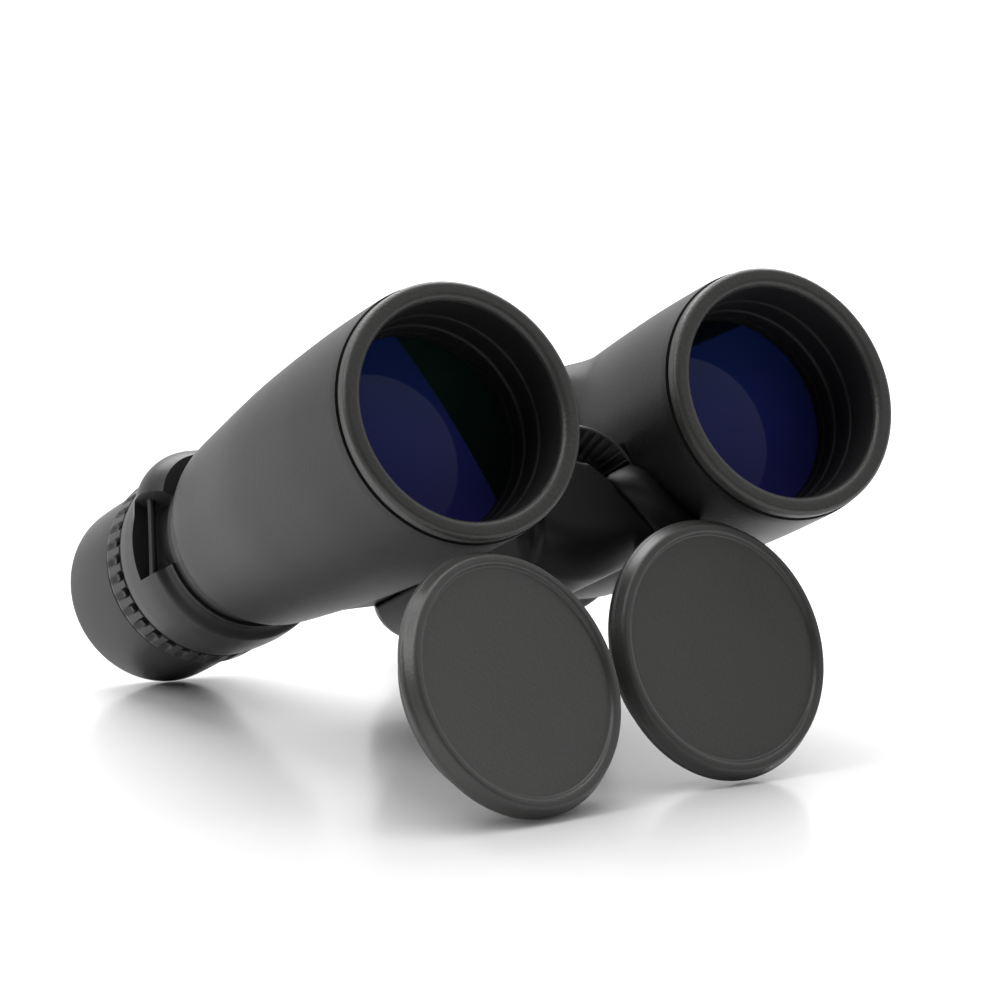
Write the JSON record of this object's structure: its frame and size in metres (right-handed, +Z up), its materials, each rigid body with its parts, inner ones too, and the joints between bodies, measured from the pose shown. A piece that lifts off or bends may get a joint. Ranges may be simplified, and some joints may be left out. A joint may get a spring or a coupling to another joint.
{
  "type": "roof prism binocular",
  "caption": "Roof-prism binocular with folding hinge, ribbed focus wheel, twist-up eyecups and loose press-in lens caps, eyecups on the ground and nose up, above the two caps.",
  "frame": {"origin": "centre of the footprint, on the surface it stands on", "axes": "+Z up, +X across the barrels to the viewer's right, objectives face -Y and point up, eyepieces rest at +Y"},
  "size_m": [0.124, 0.1676, 0.0942],
  "materials": {
    "armour_rubber": "satin moulded rubber",
    "ring_plastic": "fine matt moulding",
    "housing_plastic": "matt moulding",
    "cap_plastic": "satin moulding",
    "black_metal": "matt black anodised",
    "coated_glass": "polished, blue coated",
    "optical_glass": "polished",
    "axle_steel": "ground",
    "drive_brass": "turned"
  },
  "bodies": {
    "left_half": {"armour_left": "armour_rubber", "barrel_left": "housing_plastic", "belly_cover": "armour_rubber", "eye_lens_left": "coated_glass", "eyepiece_tube_left": "black_metal", "focus_guide_left": "black_metal", "half_penta_prism_left": "optical_glass", "hinge_bush": "axle_steel", "hinge_end_cap": "housing_plastic", "hinge_pin": "axle_steel", "lens_retainer_left": "black_metal", "light_baffle_left": "black_metal", "objective_cell_left": "black_metal", "objective_front_lens_left": "coated_glass", "objective_rear_lens_left": "coated_glass", "objective_ring_left": "ring_plastic", "prism_cradle_left": "housing_plastic", "roof_prism_left": "optical_glass", "shoulder_left": "armour_rubber", "strap_band_left": "armour_rubber", "strap_bar_left": "axle_steel"},
    "right_half": {"armour_right": "armour_rubber", "barrel_right": "housing_plastic", "eye_lens_right": "coated_glass", "eyepiece_tube_right": "black_metal", "field_lens_right": "optical_glass", "focus_guide_right": "black_metal", "grip_ring_right": "armour_rubber", "half_penta_prism_right": "optical_glass", "lens_retainer_right": "black_metal", "light_baffle_right": "black_metal", "objective_cell_right": "black_metal", "objective_front_lens_right": "coated_glass", "objective_rear_lens_right": "coated_glass", "objective_ring_right": "ring_plastic", "ocular_cell_right": "black_metal", "prism_cradle_right": "housing_plastic", "roof_prism_right": "optical_glass", "shoulder_right": "armour_rubber", "strap_band_right": "armour_rubber", "strap_bar_right": "axle_steel"},
    "wheel": {"focus_screw": "drive_brass", "focus_wheel": "housing_plastic", "wheel_grip": "armour_rubber"},
    "carriage": {"focus_carriage": "drive_brass"},
    "focus_group_left": {"focus_cell_left": "black_metal", "focus_lens_left": "optical_glass"},
    "focus_group_right": {"focus_cell_right": "black_metal", "focus_lens_right": "optical_glass"},
    "dioptre_control": {"dioptre_ring_left": "armour_rubber"},
    "ocular_group_left": {"field_lens_left": "optical_glass", "ocular_cell_left": "black_metal"},
    "collar_left": {"eyecup_collar_left": "black_metal"},
    "collar_right": {"eyecup_collar_right": "black_metal"},
    "cup_left": {"eyecup_rubber_left": "armour_rubber", "eyecup_sleeve_left": "black_metal"},
    "cup_right": {"eyecup_rubber_right": "armour_rubber", "eyecup_sleeve_right": "black_metal"},
    "cap_left": {"lens_cap_left": "cap_plastic"},
    "cap_right": {"lens_cap_right": "cap_plastic"}
  },
  "joints": [
    {"name": "interpupillary_hinge", "type": "hinge", "parent": "left_half", "child": "right_half", "pos_m": [0.00043, -0.00009, 0.03634], "axis": [0, -0.9198, 0.3923], "range_deg": [0, 40]},
    {"name": "focus_wheel_turn", "type": "hinge", "parent": "left_half", "child": "wheel", "pos_m": [0.00043, -0.02952, 0.0489], "axis": [0, -0.9198, 0.3923], "range_deg": [-270, 270]},
    {"name": "carriage_slide", "type": "slide", "parent": "left_half", "child": "carriage", "axis": [0, 0.9198, -0.3923], "range_m": [-0.00275, 0.00275]},
    {"name": "focus_slide_left", "type": "slide", "parent": "left_half", "child": "focus_group_left", "axis": [0, 0.9198, -0.3923], "range_m": [-0.00275, 0.00275]},
    {"name": "focus_slide_right", "type": "slide", "parent": "right_half", "child": "focus_group_right", "axis": [0, 0.9198, -0.3923], "range_m": [-0.00275, 0.00275]},
    {"name": "dioptre_turn", "type": "hinge", "parent": "left_half", "child": "dioptre_control", "pos_m": [-0.03572, 0.05265, 0.02744], "axis": [0, 0.9198, -0.3923], "range_deg": [-44, 44]},
    {"name": "dioptre_slide", "type": "slide", "parent": "left_half", "child": "ocular_group_left", "axis": [0, 0.9198, -0.3923], "range_m": [-0.001, 0.001]},
    {"name": "eyecup_turn_left", "type": "hinge", "parent": "left_half", "child": "collar_left", "pos_m": [-0.03572, 0.06184, 0.02352], "axis": [0, 0.9198, -0.3923], "range_deg": [0, 120]},
    {"name": "eyecup_rise_left", "type": "slide", "parent": "collar_left", "child": "cup_left", "axis": [0, 0.9198, -0.3923], "range_m": [0, 0.008]},
    {"name": "cap_pull_left", "type": "slide", "parent": "left_half", "child": "cap_left", "axis": [0, -1, 0], "range_m": [0, 0.05]},
    {"name": "eyecup_turn_right", "type": "hinge", "parent": "right_half", "child": "collar_right", "pos_m": [0.03658, 0.06184, 0.02352], "axis": [0, 0.9198, -0.3923], "range_deg": [0, 120]},
    {"name": "eyecup_rise_right", "type": "slide", "parent": "collar_right", "child": "cup_right", "axis": [0, 0.9198, -0.3923], "range_m": [0, 0.008]},
    {"name": "cap_pull_right", "type": "slide", "parent": "left_half", "child": "cap_right", "axis": [0, -1, 0], "range_m": [0, 0.05]}
  ],
  "couplings": [
    {"joint": "carriage_slide", "follows": "focus_wheel_turn", "m_per_rad": 0.00053051},
    {"joint": "focus_slide_left", "follows": "focus_wheel_turn", "m_per_rad": 0.00053051},
    {"joint": "focus_slide_right", "follows": "focus_wheel_turn", "m_per_rad": 0.00053051},
    {"joint": "dioptre_turn", "follows": "dioptre_slide", "rad_per_m": 698.12},
    {"joint": "eyecup_rise_left", "follows": "eyecup_turn_left", "m_per_rad": 0.0038197},
    {"joint": "eyecup_rise_right", "follows": "eyecup_turn_right", "m_per_rad": 0.0038197}
  ]
}
